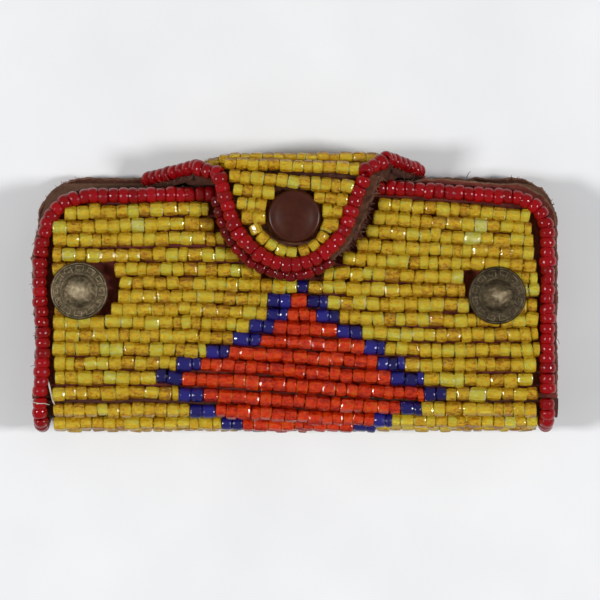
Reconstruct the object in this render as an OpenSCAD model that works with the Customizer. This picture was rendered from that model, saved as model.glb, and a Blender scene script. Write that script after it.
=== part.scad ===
// Beaded leather key case, closed. X runs along the fold, Y from the fold to the strap, Z is up.
// The back panel lies on the floor beads down and the front panel faces up. Millimetres.

/* [Case] */
// Width of the back panel's leather
case_width = 102.8; // [80:0.2:130]
// Top edge of the back panel, measured from the middle of the case
back_top = 22.8; // [16:0.1:30]
// Width of the front panel's leather
front_width = 101.8; // [80:0.2:130]
// Sideways offset of the front panel, which was sewn a little off the middle
front_offset = -0.3; // [-1:0.1:1]
// Top edge of the front panel
front_top = 21.1; // [16:0.1:30]
// Corner radius of the panels
corner_radius = 7; // [3:0.5:12]
// Thickness of the beaded leather
leather_thickness = 1.2; // [0.8:0.1:2]
// Thickness of the thin lining leather
lining_thickness = 0.6; // [0.4:0.1:1]
// Height of the space for the keys, between the two linings
cavity_height = 6; // [5:0.5:12]

/* [Beadwork] */
// Diameter of the beads in the rows
row_bead = 2.6; // [1.8:0.1:3]
// Distance between rows
row_pitch = 2.85; // [2.4:0.05:3.2]
// Diameter of the larger beads along the edges
edge_bead = 3; // [2:0.1:4]
// How far the edge beads' centre line lies inside the leather's edge
edge_inset = 1.7; // [1:0.1:3]
// Middle of the diamond along the case
diamond_middle = 0.9; // [-5:0.1:5]
// Half the length of the diamond's widest row
diamond_half = 28.4; // [15:0.1:40]
// Rows from the diamond's widest row to each tip
diamond_rows = 7; // [3:1:10]
// Length of the blue outline in each row
outline_length = 4.6; // [2:0.1:8]

/* [Strap and tab] */
// Outer face of the strap where it crosses the top edge
strap_crest = 24.9; // [22:0.1:30]
// Half the strap's width at its root on the back panel
strap_root_half = 27; // [18:0.5:40]
// Half the strap's width where it starts up the edge
strap_low_half = 24; // [16:0.5:36]
// Half the strap's width at the top of the edge
strap_high_half = 17.6; // [12:0.2:30]
// Half the tab's width where it starts across the front
tab_root_half = 16; // [10:0.2:24]
// Middle of the tab along the case
tab_middle = -1; // [-4:0.1:4]
// Lowest point of the tab's edge beads
tab_tip = 5.6; // [0:0.1:14]

/* [Snap and rivets] */
// Place of the snap along the case
snap_x = -0.6; // [-4:0.1:4]
// Place of the snap above the middle
snap_y = 15; // [8:0.1:18]
// Diameter of the snap's cap
snap_cap_diameter = 10.2; // [8:0.1:14]
// Place of the left concho
left_concho_x = -42.2; // [-46:0.1:-30]
// Place of the right concho
right_concho_x = 39; // [30:0.1:46]
// Diameter of the domed conchos
concho_diameter = 11.4; // [8:0.1:14]

/* [Key hooks] */
// Number of swivelling hooks
hook_count = 6; // [6:1:6]
// Distance between hooks
hook_pitch = 12.5; // [11:0.5:14]
// Outer width of a hook's loop
hook_width = 7.6; // [6:0.1:9]
// Distance from a hook's rivet to the end of its loop
hook_length = 17; // [14:0.5:19]

/* [Hidden] */
cos15 = cos(15);
row_radius = row_bead / 2 / cos15;
row_rise = row_bead / 2;
edge_radius = edge_bead / 2 / cos15;
edge_rise = edge_bead / 2;

// Levels, from the floor up
back_outer = edge_bead;
back_inner = back_outer + leather_thickness;
back_face = back_inner + lining_thickness;
front_face = back_face + cavity_height;
front_inner = front_face + lining_thickness;
front_outer = front_inner + leather_thickness;
tab_gap = 0.2;
tab_face = front_outer + edge_bead + tab_gap;
tab_inner = tab_face + lining_thickness;
tab_outer = tab_inner + leather_thickness;

// The fold at the bottom: half a turn of leather around the key space
fold_middle = (back_outer + front_outer) / 2;
fold_outer = (front_outer - back_outer) / 2;
fold_y = fold_outer + row_bead - strap_crest - edge_bead;
fold_rows = 7;
fold_first = 11;
fold_step = (180 - 2 * fold_first) / (fold_rows - 1);

// The strap's corners as [y, z], on the outer face, from the back panel to the tab
bend = 2;
root_line = [strap_crest - bend, back_outer];
low_line = [strap_crest, back_outer + bend];
high_line = [strap_crest, tab_outer - bend];
tab_line = [strap_crest - bend, tab_outer];
mitre = leather_thickness * tan(22.5) + 0.06;

front_left = front_offset - front_width / 2;
front_right = front_offset + front_width / 2;
front_rows = 13;
first_row = 16;
widest_row = 12;
root_row_pitch = 2.7;
row_margin = 3.4;
corner_margin = 2.6;
hinge_gap = 0.45;
concho_y = [0.5, -0.4];
concho_clear = concho_diameter / 2 + row_rise + 0.1;
spine_rows = [1.36, 3.99, 6.61, 9.24];

plate_level = front_face - 1;
plate_height = 9;
hook_thickness = 1.4;
hook_level = plate_level - 0.2 - hook_thickness;
hook_middle = (left_concho_x + right_concho_x) / 2;
loop_radius = hook_width / 2;
loop_inner = 2.5;
loop_low = -hook_length + loop_radius;
loop_high = loop_low + 4.6;
gate_x = 3.2;
gate_low = loop_low + 0.3;
gate_length = 5;

yellow = [0.78, 0.62, 0.08];
orange = [0.82, 0.22, 0.08];
blue = [0.10, 0.18, 0.62];
red = [0.68, 0.04, 0.08];
suede = [0.28, 0.16, 0.13];
reddish = [0.42, 0.22, 0.18];
lining = [0.36, 0.22, 0.16];
enamel = [0.22, 0.13, 0.11];
antique = [0.38, 0.34, 0.26];
nickel = [0.72, 0.71, 0.68];

// Points along an arc
function arc(centre, radius, from, to, steps) =
    [for (i = [0:steps]) let (a = from + (to - from) * i / steps) centre + radius * [cos(a), sin(a)]];

// A panel's outline with two rounded top corners
function panel(left, right, low, high, radius) = concat(
    [[left, low], [right, low]],
    arc([right - radius, high - radius], radius, 0, 90, 9),
    arc([left + radius, high - radius], radius, 90, 180, 9));

function lift(points, z) = [for (p = points) [p[0], p[1], z]];
function unit(v) = v / norm(v);

// The direction of a path at one of its points
function heading(path, i) = unit(path[min(i + 1, len(path) - 1)] - path[max(i - 1, 0)]);

function ring(point, along, up, radius) =
    let (side = cross(along, up)) [for (k = [0:11]) point + radius * (cos(15 + 30 * k) * side + sin(15 + 30 * k) * up)];

// A strand: a tube with twelve sides along a flat path, with one side facing the leather
module strand(path, ups, radius) {
    count = len(path);
    points = [for (i = [0:count - 1]) each ring(path[i], heading(path, i), ups[i], radius)];
    walls = [for (i = [0:count - 2]) for (k = [0:11]) let (n = (k + 1) % 12) each [
        [i * 12 + k, i * 12 + n, i * 12 + 12 + n],
        [i * 12 + k, i * 12 + 12 + n, i * 12 + 12 + k]]];
    ends = [[for (k = [11:-1:0]) k], [for (k = [0:11]) (count - 1) * 12 + k]];
    polyhedron(points, concat(ends, walls));
}

module flat_strand(points, z, radius) {
    strand(lift(points, z), [for (p = points) [0, 0, 1]], radius);
}

// One run of a bead row along X, as a bar with twelve sides and a flat side on the leather
module run(from, to, y, z, tilt = 0) {
    translate([from, y, z])
        rotate([tilt, 0, 0])
            rotate([90, 0, 90])
                linear_extrude(to - from)
                    rotate(15)
                        circle(row_radius, $fn = 12);
}

module slab(points, low, high) {
    translate([0, 0, low])
        linear_extrude(high - low)
            polygon(points);
}

// Diamond: outer half-length of a row that lies a number of rows from the widest one
function diamond_reach(rows) = 1.2 + (diamond_half - 1.2) * (1 - rows / diamond_rows);
function in_diamond(rows) = rows <= diamond_rows;
function orange_reach(rows) = diamond_reach(rows) - outline_length;

// Rows of the front panel, and how far each reaches beside a concho
function row_y(i) = first_row - row_pitch * i;
function beside(dy, clear) = abs(dy) < clear ? sqrt(clear * clear - dy * dy) : -1;
function end_margin(i) = i == 0 ? row_margin + corner_margin : row_margin;
function row_left(i) =
    let (b = beside(row_y(i) - concho_y[0], concho_clear)) b < 0 ? front_left + end_margin(i) : left_concho_x + b;
function row_right(i) =
    let (b = beside(row_y(i) - concho_y[1], concho_clear)) b < 0 ? front_right - end_margin(i) : right_concho_x - b;

module back_leather() {
    color(suede)
        difference() {
            slab(panel(-case_width / 2, case_width / 2, fold_y, back_top, corner_radius), back_outer, back_inner);
            translate([tab_middle - strap_root_half - 0.5, root_line[0] - mitre, back_outer - 1])
                cube([2 * strap_root_half + 1, 5, leather_thickness + 2]);
        }
}

module back_lining() {
    color(lining)
        slab(panel(1 - case_width / 2, case_width / 2 - 1, fold_y, back_top - 1, corner_radius - 1), back_inner, back_face);
}

module back_rows() {
    color(yellow) {
        for (i = [0:front_rows - 1])
            run(end_margin(i) - case_width / 2, case_width / 2 - end_margin(i), row_y(i), back_outer - row_rise);
        for (i = [1:2])
            run(tab_middle - 22, tab_middle + 22, row_y(0) + root_row_pitch * i, back_outer - row_rise);
    }
}

// The back's edge beads run up each side and along the top to the root of the strap
module back_edging() {
    side = case_width / 2 - edge_inset;
    high = back_top - edge_inset;
    turn = corner_radius - edge_inset;
    color(red) {
        flat_strand(concat([[-side, fold_y + hinge_gap]], arc([turn - side, high - turn], turn, 180, 90, 8),
            [[tab_middle - strap_root_half, high]]), back_outer - edge_rise, edge_radius);
        flat_strand(concat([[side, fold_y + hinge_gap]], arc([side - turn, high - turn], turn, 0, 90, 8),
            [[tab_middle + strap_root_half, high]]), back_outer - edge_rise, edge_radius);
    }
}

// A half turn of sheet around the fold
module half_turn(outer, inner, half) {
    translate([-half, fold_y, fold_middle])
        rotate([90, 0, 90])
            linear_extrude(2 * half)
                intersection() {
                    difference() {
                        circle(outer, $fn = 96);
                        circle(inner, $fn = 96);
                    }
                    translate([-2 * outer, -2 * outer])
                        square([2 * outer, 4 * outer]);
                }
}

module fold_leather() {
    color(suede)
        half_turn(fold_outer, fold_outer - leather_thickness, case_width / 2 - 0.2);
}

module fold_lining() {
    color(lining)
        half_turn(fold_outer - leather_thickness, fold_outer - leather_thickness - lining_thickness, case_width / 2 - 1);
}

// Row k around the fold, counted from the front
module fold_run(k, from, to) {
    a = fold_first + k * fold_step;
    r = fold_outer + row_rise;
    run(from, to, fold_y - r * sin(a), fold_middle + r * cos(a), a);
}

function fold_distance(k) = front_rows + k - widest_row;

module fold_rows_yellow() {
    color(yellow)
        for (k = [0:fold_rows - 1]) {
            reach = in_diamond(fold_distance(k)) ? diamond_reach(fold_distance(k)) : 0;
            fold_run(k, front_left + row_margin, diamond_middle - reach);
            fold_run(k, diamond_middle + reach, front_right - row_margin);
        }
}

module fold_rows_orange() {
    color(orange)
        for (k = [0:fold_rows - 1])
            if (in_diamond(fold_distance(k)) && orange_reach(fold_distance(k)) > 0.4)
                fold_run(k, diamond_middle - orange_reach(fold_distance(k)),
                    diamond_middle + orange_reach(fold_distance(k)));
}

module fold_rows_blue() {
    color(blue)
        for (k = [0:fold_rows - 1])
            if (in_diamond(fold_distance(k))) {
                inner = max(orange_reach(fold_distance(k)), 0);
                outer = diamond_reach(fold_distance(k));
                fold_run(k, diamond_middle - outer, diamond_middle - inner);
                fold_run(k, diamond_middle + inner, diamond_middle + outer);
            }
}

// Short ends of the edge beads that turn into the fold from each panel
module fold_edging() {
    r = fold_outer + edge_rise;
    color(red)
        for (x = [front_left + edge_inset, front_right - edge_inset])
            for (start = [4, 132]) {
                angles = [for (i = [0:6]) start + 44 * i / 6];
                strand([for (a = angles) [x, fold_y - r * sin(a), fold_middle + r * cos(a)]],
                    [for (a = angles) [0, -sin(a), cos(a)]], edge_radius);
            }
}

module front_leather() {
    color(reddish)
        difference() {
            slab(panel(front_left, front_right, fold_y + 0.1, front_top, corner_radius), front_inner, front_outer);
            concho_holes(1.25);
            translate([snap_x, snap_y, front_inner - 1])
                cylinder(r = 1.25, h = 4, $fn = 32);
        }
}

module concho_holes(radius) {
    translate([left_concho_x, concho_y[0], plate_level - 2])
        cylinder(r = radius, h = 6, $fn = 32);
    translate([right_concho_x, concho_y[1], plate_level - 2])
        cylinder(r = radius, h = 6, $fn = 32);
}

module front_lining() {
    color(lining)
        difference() {
            slab(panel(front_left + 0.8, front_right - 0.8, fold_y + 0.1, front_top - 0.8, corner_radius - 0.8),
                front_face, front_inner);
            concho_holes(1.25);
            translate([snap_x, snap_y, front_face - 1])
                cylinder(r = 2.6, h = 3, $fn = 32);
        }
}

module front_run(i, from, to) {
    run(from, to, row_y(i), front_outer + row_rise);
}

module front_rows_yellow() {
    color(yellow)
        for (i = [0:front_rows - 1]) {
            distance = widest_row - i;
            if (in_diamond(distance)) {
                front_run(i, row_left(i), diamond_middle - diamond_reach(distance));
                front_run(i, diamond_middle + diamond_reach(distance), row_right(i));
            } else if (row_y(i) + row_rise > tab_low) {
                front_run(i, row_left(i), tab_middle - tab_cover(0, row_y(i) + row_rise));
                front_run(i, tab_middle + tab_cover(1, row_y(i) + row_rise), row_right(i));
            } else {
                front_run(i, row_left(i), row_right(i));
            }
        }
}

module front_rows_orange() {
    color(orange)
        for (i = [0:front_rows - 1])
            if (in_diamond(widest_row - i) && orange_reach(widest_row - i) > 0.4)
                front_run(i, diamond_middle - orange_reach(widest_row - i),
                    diamond_middle + orange_reach(widest_row - i));
}

module front_rows_blue() {
    color(blue)
        for (i = [0:front_rows - 1])
            if (in_diamond(widest_row - i)) {
                inner = orange_reach(widest_row - i);
                outer = diamond_reach(widest_row - i);
                if (inner > 0.4) {
                    front_run(i, diamond_middle - outer, diamond_middle - inner);
                    front_run(i, diamond_middle + inner, diamond_middle + outer);
                } else {
                    front_run(i, diamond_middle - outer, diamond_middle + outer);
                }
            }
}

module front_edging() {
    left = front_left + edge_inset;
    right = front_right - edge_inset;
    high = front_top - edge_inset;
    turn = corner_radius - edge_inset;
    color(red)
        flat_strand(concat([[left, fold_y + hinge_gap]], arc([left + turn, high - turn], turn, 180, 90, 8),
            arc([right - turn, high - turn], turn, 90, 0, 8), [[right, fold_y + hinge_gap]]),
            front_outer + edge_rise, edge_radius);
}

// The lower half of the snap: a stud clenched through the front panel
module snap_stud() {
    color(antique)
        translate([snap_x, snap_y, 0])
            rotate_extrude($fn = 64)
                polygon([[0, front_face], [2.5, front_face], [2.5, front_inner], [1.2, front_inner],
                    [1.2, front_outer], [2.7, front_outer], [2.7, front_outer + 0.7], [1.5, front_outer + 1.1],
                    [1.5, front_outer + 2.9], [1.8, front_outer + 3.2], [1.8, front_outer + 3.5],
                    [1.4, front_outer + 3.8], [0, front_outer + 3.8]]);
}

// A domed concho with stepped rings, and the shank that clenches it to the key plate
module concho(x, y) {
    r = concho_diameter / 2;
    color(antique)
        translate([x, y, 0])
            rotate_extrude($fn = 64)
                polygon([[0, plate_level - 0.9], [1.2, plate_level - 0.9], [1.2, front_outer], [r - 0.3, front_outer],
                    [r, front_outer + 0.3], [r - 0.1, front_outer + 0.9], [r - 0.9, front_outer + 1.5],
                    [r - 1.2, front_outer + 1.4], [r - 2.6, front_outer + 2.2], [r - 2.9, front_outer + 2.6],
                    [1.6, front_outer + 3.1], [0, front_outer + 3.3]]);
}

module left_concho() {
    concho(left_concho_x, concho_y[0]);
}

module right_concho() {
    concho(right_concho_x, concho_y[1]);
}

module burr(x, y) {
    color(nickel)
        translate([x, y, plate_level - 0.6])
            difference() {
                cylinder(r = 2.3, h = 0.6, $fn = 48);
                translate([0, 0, -1])
                    cylinder(r = 1.25, h = 3, $fn = 32);
            }
}

module left_burr() {
    burr(left_concho_x, concho_y[0]);
}

module right_burr() {
    burr(right_concho_x, concho_y[1]);
}

function hook_x(i) = hook_middle + hook_pitch * (i - (hook_count + 1) / 2);

module key_plate() {
    half = (right_concho_x - left_concho_x) / 2 + 5;
    color(nickel)
        translate([hook_middle, 0, plate_level])
            difference() {
                linear_extrude(front_face - plate_level)
                    polygon(concat(
                        arc([half - plate_height / 2, 0], plate_height / 2, -90, 90, 16),
                        arc([plate_height / 2 - half, 0], plate_height / 2, 90, 270, 16)));
                translate([-hook_middle, 0, -plate_level])
                    concho_holes(1.25);
                for (i = [1:hook_count])
                    translate([hook_x(i) - hook_middle, 0, -1])
                        cylinder(r = 1, h = 3, $fn = 32);
            }
}

module hook_rivet(i) {
    color(antique)
        translate([hook_x(i), 0, 0]) {
            translate([0, 0, hook_level - 0.2])
                cylinder(r = 0.95, h = front_face - hook_level + 0.2, $fn = 32);
            translate([0, 0, hook_level - 0.9])
                cylinder(r1 = 1.5, r2 = 2, h = 0.7, $fn = 48);
        }
}

module hook_rivet_1() { hook_rivet(1); }
module hook_rivet_2() { hook_rivet(2); }
module hook_rivet_3() { hook_rivet(3); }
module hook_rivet_4() { hook_rivet(4); }
module hook_rivet_5() { hook_rivet(5); }
module hook_rivet_6() { hook_rivet(6); }

module capsule(radius, low, high) {
    translate([0, low])
        circle(radius, $fn = 64);
    translate([0, high])
        circle(radius, $fn = 64);
    translate([-radius, low])
        square([2 * radius, high - low]);
}

// A flat hook: a round head on the rivet, a neck and a long loop with a slot for the gate
module hook(i) {
    color(nickel)
        translate([hook_x(i), 0, hook_level])
            linear_extrude(hook_thickness)
                difference() {
                    union() {
                        circle(3.2, $fn = 64);
                        translate([-1.6, loop_high + 1])
                            square([3.2, -1 - loop_high - 1]);
                        capsule(loop_radius, loop_low, loop_high);
                    }
                    circle(1.15, $fn = 48);
                    capsule(loop_inner, loop_low, loop_high);
                    translate([loop_inner - 0.3, gate_low - 0.7])
                        square([2, gate_length + 1.1]);
                }
}

module hook_1() { hook(1); }
module hook_2() { hook(2); }
module hook_3() { hook(3); }
module hook_4() { hook(4); }
module hook_5() { hook(5); }
module hook_6() { hook(6); }

// A spring gate that closes the slot in the loop's side
module gate(i) {
    color(antique)
        translate([hook_x(i) + gate_x, gate_low, hook_level + 0.2])
            linear_extrude(hook_thickness - 0.4) {
                circle(0.55, $fn = 32);
                translate([-0.45, 0])
                    square([0.9, gate_length]);
            }
}

module gate_1() { gate(1); }
module gate_2() { gate(2); }
module gate_3() { gate(3); }
module gate_4() { gate(4); }
module gate_5() { gate(5); }
module gate_6() { gate(6); }

// Places on a flat stretch of the strap between two corners: s along it, d inward from its outer face
function stretch_dir(from, to) = unit(to - from);
function stretch_out(from, to) = let (d = stretch_dir(from, to)) [d[1], -d[0]];
function place(from, to, s, d) = from + s * stretch_dir(from, to) - d * stretch_out(from, to);
function stretch_half(from, to, half_from, half_to, s) = half_from + (half_to - half_from) * s / norm(to - from);

module stretch_leather(from, to, half_from, half_to) {
    length = norm(to - from);
    quad = [[0, 0], [length, 0], [length - mitre, leather_thickness], [mitre, leather_thickness]];
    points = [for (side = [-1, 1]) for (q = quad) let (p = place(from, to, q[0], q[1]))
        [tab_middle + side * stretch_half(from, to, half_from, half_to, q[0]), p[0], p[1]]];
    color(suede)
        polyhedron(points, [[0, 1, 2, 3], [7, 6, 5, 4], [1, 0, 4, 5], [2, 1, 5, 6], [3, 2, 6, 7], [0, 3, 7, 4]]);
}

module stretch_rows(from, to, half_from, half_to, places) {
    out = stretch_out(from, to);
    color(yellow)
        for (s = places) {
            p = place(from, to, s, -row_rise);
            narrow = stretch_half(from, to, half_from, half_to, min(s + 1.42, norm(to - from)));
            half = narrow - edge_inset - edge_rise - 0.2;
            run(tab_middle - half, tab_middle + half, p[0], p[1], atan2(-out[0], out[1]));
        }
}

module stretch_edging(from, to, half_from, half_to) {
    out = stretch_out(from, to);
    length = norm(to - from);
    color(red)
        for (side = [-1, 1])
            strand([for (s = [0.4, length - 0.4]) let (p = place(from, to, s, -edge_rise))
                [tab_middle + side * (stretch_half(from, to, half_from, half_to, s) - edge_inset), p[0], p[1]]],
                [for (s = [0, 1]) [0, out[0], out[1]]], edge_radius);
}

module strap_low_leather() {
    stretch_leather(root_line, low_line, strap_root_half, strap_low_half);
}

module strap_low_rows() {
    stretch_rows(root_line, low_line, strap_root_half, strap_low_half, [norm(low_line - root_line) / 2]);
}

module strap_low_edging() {
    stretch_edging(root_line, low_line, strap_root_half, strap_low_half);
}

module strap_spine_leather() {
    stretch_leather(low_line, high_line, strap_low_half, strap_high_half);
}

module strap_spine_rows() {
    stretch_rows(low_line, high_line, strap_low_half, strap_high_half, spine_rows);
}

module strap_spine_edging() {
    stretch_edging(low_line, high_line, strap_low_half, strap_high_half);
}

module strap_high_leather() {
    stretch_leather(high_line, tab_line, strap_high_half, tab_root_half);
}

module strap_high_rows() {
    stretch_rows(high_line, tab_line, strap_high_half, tab_root_half, [norm(tab_line - high_line) / 2]);
}

module strap_high_edging() {
    stretch_edging(high_line, tab_line, strap_high_half, tab_root_half);
}

// The tab's edge: part of an ellipse on each side, the right side leaning out more than the left
tab_lean = [0.8, 2.8];
tab_low = tab_tip - edge_inset;
tab_high = tab_line[0] - mitre;
function tab_side(side, grow) = tab_root_half - edge_inset - tab_lean[side] + grow;
function tab_point(side, a, grow, low, high) = [
    tab_middle + (side == 0 ? -1 : 1) * (tab_side(side, grow) * sin(a) + tab_lean[side] * (1 - cos(a))),
    low + (high - low) * (1 - cos(a))];
function tab_outline(grow, low, high) = concat(
    [for (a = [90:-7.5:0]) tab_point(0, a, grow, low, high)],
    [for (a = [7.5:7.5:90]) tab_point(1, a, grow, low, high)]);

// How far the tab's leather covers the front at a height, with a little room
function tab_cover(side, y) =
    let (c = 1 - (min(y, tab_high) - tab_low) / (tab_high - tab_low))
    tab_side(side, edge_inset) * sqrt(1 - c * c) + tab_lean[side] * (1 - c) + 0.4;

module tab_leather() {
    color(suede)
        difference() {
            slab(tab_outline(edge_inset, tab_low, tab_high), tab_inner, tab_outer);
            translate([snap_x, snap_y, tab_inner - 1])
                cylinder(r = 4, h = 4, $fn = 64);
        }
}

module tab_lining() {
    color(lining)
        difference() {
            slab(tab_outline(0.7, tab_tip - 0.7, tab_high - 0.4), tab_face, tab_inner);
            translate([snap_x, snap_y, tab_face - 1])
                cylinder(r = 4, h = 4, $fn = 64);
        }
}

// How far the tab reaches to one side at a height, inside its edge beads
function tab_reach(side, y) =
    let (c = 1 - (y - tab_tip) / (tab_line[0] - tab_tip))
    tab_side(side, 0) * sqrt(1 - c * c) + tab_lean[side] * (1 - c) - edge_rise - 0.3;

module tab_rows() {
    clear = snap_cap_diameter / 2 + row_rise;
    level = tab_outer + row_rise;
    small_radius = 0.85 * row_radius;
    arc_radius = snap_cap_diameter / 2 + small_radius + 0.1;
    color(yellow) {
        for (i = [0:3]) {
            y = tab_line[0] - 1.4 - row_pitch * i;
            gap = beside(y - snap_y, clear);
            left = tab_middle - tab_reach(0, y - row_rise);
            right = tab_middle + tab_reach(1, y - row_rise);
            if (gap < 0)
                run(left, right, y, level);
            else {
                run(left, snap_x - gap, y, level);
                run(snap_x + gap, right, y, level);
            }
        }
        flat_strand(arc([snap_x, snap_y], arc_radius, 210, 330, 12), tab_outer + small_radius * cos15, small_radius);
    }
}

module tab_edging() {
    color(red)
        flat_strand(tab_outline(0, tab_tip, tab_line[0] - 0.5), tab_outer + edge_rise, edge_radius);
}

module snap_cap() {
    r = snap_cap_diameter / 2;
    color(enamel)
        translate([snap_x, snap_y, tab_outer])
            rotate_extrude($fn = 64)
                polygon([[0, 0], [r - 0.4, 0], [r, 0.5], [r, 1.3], [r - 0.5, 2.0], [r - 1.6, 2.4], [r - 3.2, 2.6],
                    [0, 2.7]]);
}

// The upper half of the snap: a cup in the tab that the stud presses into
module snap_socket() {
    color(antique)
        translate([snap_x, snap_y, 0])
            rotate_extrude($fn = 64)
                polygon([[0, tab_inner + 0.3], [2.7, tab_inner + 0.3], [2.7, tab_face - 0.1], [4, tab_face - 0.1],
                    [4, tab_outer], [0, tab_outer]]);
}

back_leather();
back_lining();
back_rows();
back_edging();
fold_leather();
fold_lining();
fold_rows_yellow();
fold_rows_orange();
fold_rows_blue();
fold_edging();
front_leather();
front_lining();
front_rows_yellow();
front_rows_orange();
front_rows_blue();
front_edging();
snap_stud();
left_concho();
right_concho();
left_burr();
right_burr();
key_plate();
hook_rivet_1();
hook_rivet_2();
hook_rivet_3();
hook_rivet_4();
hook_rivet_5();
hook_rivet_6();
hook_1();
hook_2();
hook_3();
hook_4();
hook_5();
hook_6();
gate_1();
gate_2();
gate_3();
gate_4();
gate_5();
gate_6();
strap_low_leather();
strap_low_rows();
strap_low_edging();
strap_spine_leather();
strap_spine_rows();
strap_spine_edging();
strap_high_leather();
strap_high_rows();
strap_high_edging();
tab_leather();
tab_lining();
tab_rows();
tab_edging();
snap_cap();
snap_socket();
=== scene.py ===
import math

import bpy
import numpy as np
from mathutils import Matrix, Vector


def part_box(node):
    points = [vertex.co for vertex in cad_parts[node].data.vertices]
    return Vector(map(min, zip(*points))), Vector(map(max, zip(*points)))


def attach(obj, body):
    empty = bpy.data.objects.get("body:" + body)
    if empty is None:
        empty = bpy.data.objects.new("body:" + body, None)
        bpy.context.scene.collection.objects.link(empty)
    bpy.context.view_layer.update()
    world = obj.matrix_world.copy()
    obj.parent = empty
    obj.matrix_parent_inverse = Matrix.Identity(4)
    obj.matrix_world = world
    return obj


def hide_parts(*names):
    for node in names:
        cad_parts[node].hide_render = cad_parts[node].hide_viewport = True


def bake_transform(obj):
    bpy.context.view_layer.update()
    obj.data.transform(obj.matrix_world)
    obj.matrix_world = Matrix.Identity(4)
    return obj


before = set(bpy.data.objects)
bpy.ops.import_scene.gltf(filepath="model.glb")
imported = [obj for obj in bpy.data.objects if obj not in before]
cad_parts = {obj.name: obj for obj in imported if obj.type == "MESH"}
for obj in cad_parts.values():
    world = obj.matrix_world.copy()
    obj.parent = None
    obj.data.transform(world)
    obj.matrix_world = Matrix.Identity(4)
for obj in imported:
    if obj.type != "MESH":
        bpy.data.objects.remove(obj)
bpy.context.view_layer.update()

# A closed, beaded leather key case, seen from straight above. Metres; MM turns millimetres into them.
MM = 0.001


# ---- places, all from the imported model

def box(node):
    """A node's low and high corners, in millimetres."""
    return [[side / MM for side in corner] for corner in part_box(node)]


def centre(node):
    return [(a + b) / 2 / MM for a, b in zip(*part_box(node))]


def half_width(node):
    low, high = box(node)
    return (high[0] - low[0]) / 2


(FRONT_LEFT, _, FRONT_INNER), (FRONT_RIGHT, FRONT_TOP, FRONT_FACE) = box("front_leather")
(BACK_LEFT, FOLD_Y, BACK_FACE), (BACK_RIGHT, BACK_TOP, BACK_INNER) = box("back_leather")
FOLD_Z = (FRONT_FACE + BACK_FACE) / 2
FOLD_RADIUS = (FRONT_FACE - BACK_FACE) / 2
# The ground beads' diameter, the step between rows, the top row's level and the front's number of rows
ROW = 2.78
ROW_PITCH = 2.85
FIRST_ROW = 16.0
FRONT_ROWS = 17
# The edge beads' diameter and distance from the edge, the leather's thickness at the fold and the strap, and
# the radii of the front's upper corners
EDGE = 3.0
EDGE_INSET = 1.7
LEATHER = 1.1
LEFT_CORNER, RIGHT_CORNER = 10.5, 9.0
STRAP_MIDDLE = centre("strap_spine_leather")[0]
CREST = box("strap_spine_leather")[1][1]
TAB_INNER, TAB_FACE = [corner[2] for corner in box("tab_leather")]
TAB_LOW = box("tab_edging")[0][1] + EDGE / 2
# The strap's four bends over the top edge as (y, z), which cut its corners off by BEND
BEND = 2.0
ROOT = (CREST - BEND, BACK_FACE)
LOW = (CREST, BACK_FACE + BEND)
HIGH = (CREST, TAB_FACE - BEND)
TURN = (CREST - BEND, TAB_FACE)
# Half the tab's width, and how far its left and right sides lean outwards up to its top
TAB_HALF = half_width("tab_leather")
TAB_LEAN = (0.8, 2.8)
# The strap's corners as (y, z) with half its width at each, and the bodies of the stretches between them
STRAP_CORNERS = [(BACK_TOP - 4, BACK_FACE), ROOT, LOW, HIGH, TURN, (TURN[0] - 4, TAB_FACE)]
ROOT_HALF = half_width("strap_low_leather") + 4.0
STRAP_HALVES = [ROOT_HALF, ROOT_HALF, half_width("strap_spine_leather") + 6.3,
                half_width("strap_high_leather") + 2.3, TAB_HALF, TAB_HALF - 0.6]
STRAP_BODIES = ["back", "strap_low", "strap_spine", "strap_high", "tab"]
SNAP = centre("snap_cap")
CONCHOS = {name: centre(name) for name in ("left_concho", "right_concho")}


def smooth(t):
    """An even step from 0 to 1 as t does, with level ends."""
    t = np.clip(t, 0, 1)
    return t * t * (3 - 2 * t)


def bell(t, middle, reach):
    """A smooth hump, 1 at its middle."""
    return math.exp(-((t - middle) / reach) ** 2)


# ---- materials

def new_material(name, roughness, bending=1.5, metallic=0.0, transmission=0.0):
    material = bpy.data.materials.new(name)
    material.use_nodes = True
    shader = material.node_tree.nodes["Principled BSDF"]
    shader.inputs["Roughness"].default_value = roughness
    shader.inputs["IOR"].default_value = bending
    shader.inputs["Metallic"].default_value = metallic
    shader.inputs["Transmission Weight"].default_value = transmission
    return material, material.node_tree, shader


def node(tree, kind, **values):
    made = tree.nodes.new(kind)
    for key, value in values.items():
        if key in made.inputs:
            made.inputs[key].default_value = value
        else:
            setattr(made, key, value)
    return made


def noise(tree, scale, detail, stretch=None):
    coords = node(tree, "ShaderNodeTexCoord")
    texture = node(tree, "ShaderNodeTexNoise", Scale=scale, Detail=detail, Roughness=0.6)
    source = coords.outputs["Object"]
    if stretch:
        mapping = node(tree, "ShaderNodeMapping", Scale=stretch)
        tree.links.new(source, mapping.inputs["Vector"])
        source = mapping.outputs["Vector"]
    tree.links.new(source, texture.inputs["Vector"])
    return texture.outputs["Fac"]


def colour_by(tree, shader, value, stops):
    """Colours the shader by a value, through stops of (value, colour)."""
    made = node(tree, "ShaderNodeValToRGB")
    elements = made.color_ramp.elements
    while len(elements) < len(stops):
        elements.new(0.5)
    for element, (place, colour) in zip(elements, stops):
        element.position = place
        element.color = (*colour, 1)
    tree.links.new(value, made.inputs["Fac"])
    tree.links.new(made.outputs["Color"], shader.inputs["Base Color"])


def weighted(tree, value, weight, rest=None):
    """The value times a weight, plus the rest if there is one."""
    made = node(tree, "ShaderNodeMath", operation="MULTIPLY_ADD")
    made.inputs[1].default_value = weight
    made.inputs[2].default_value = 0.0
    tree.links.new(value, made.inputs[0])
    if rest is not None:
        tree.links.new(rest, made.inputs[2])
    return made.outputs[0]


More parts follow.
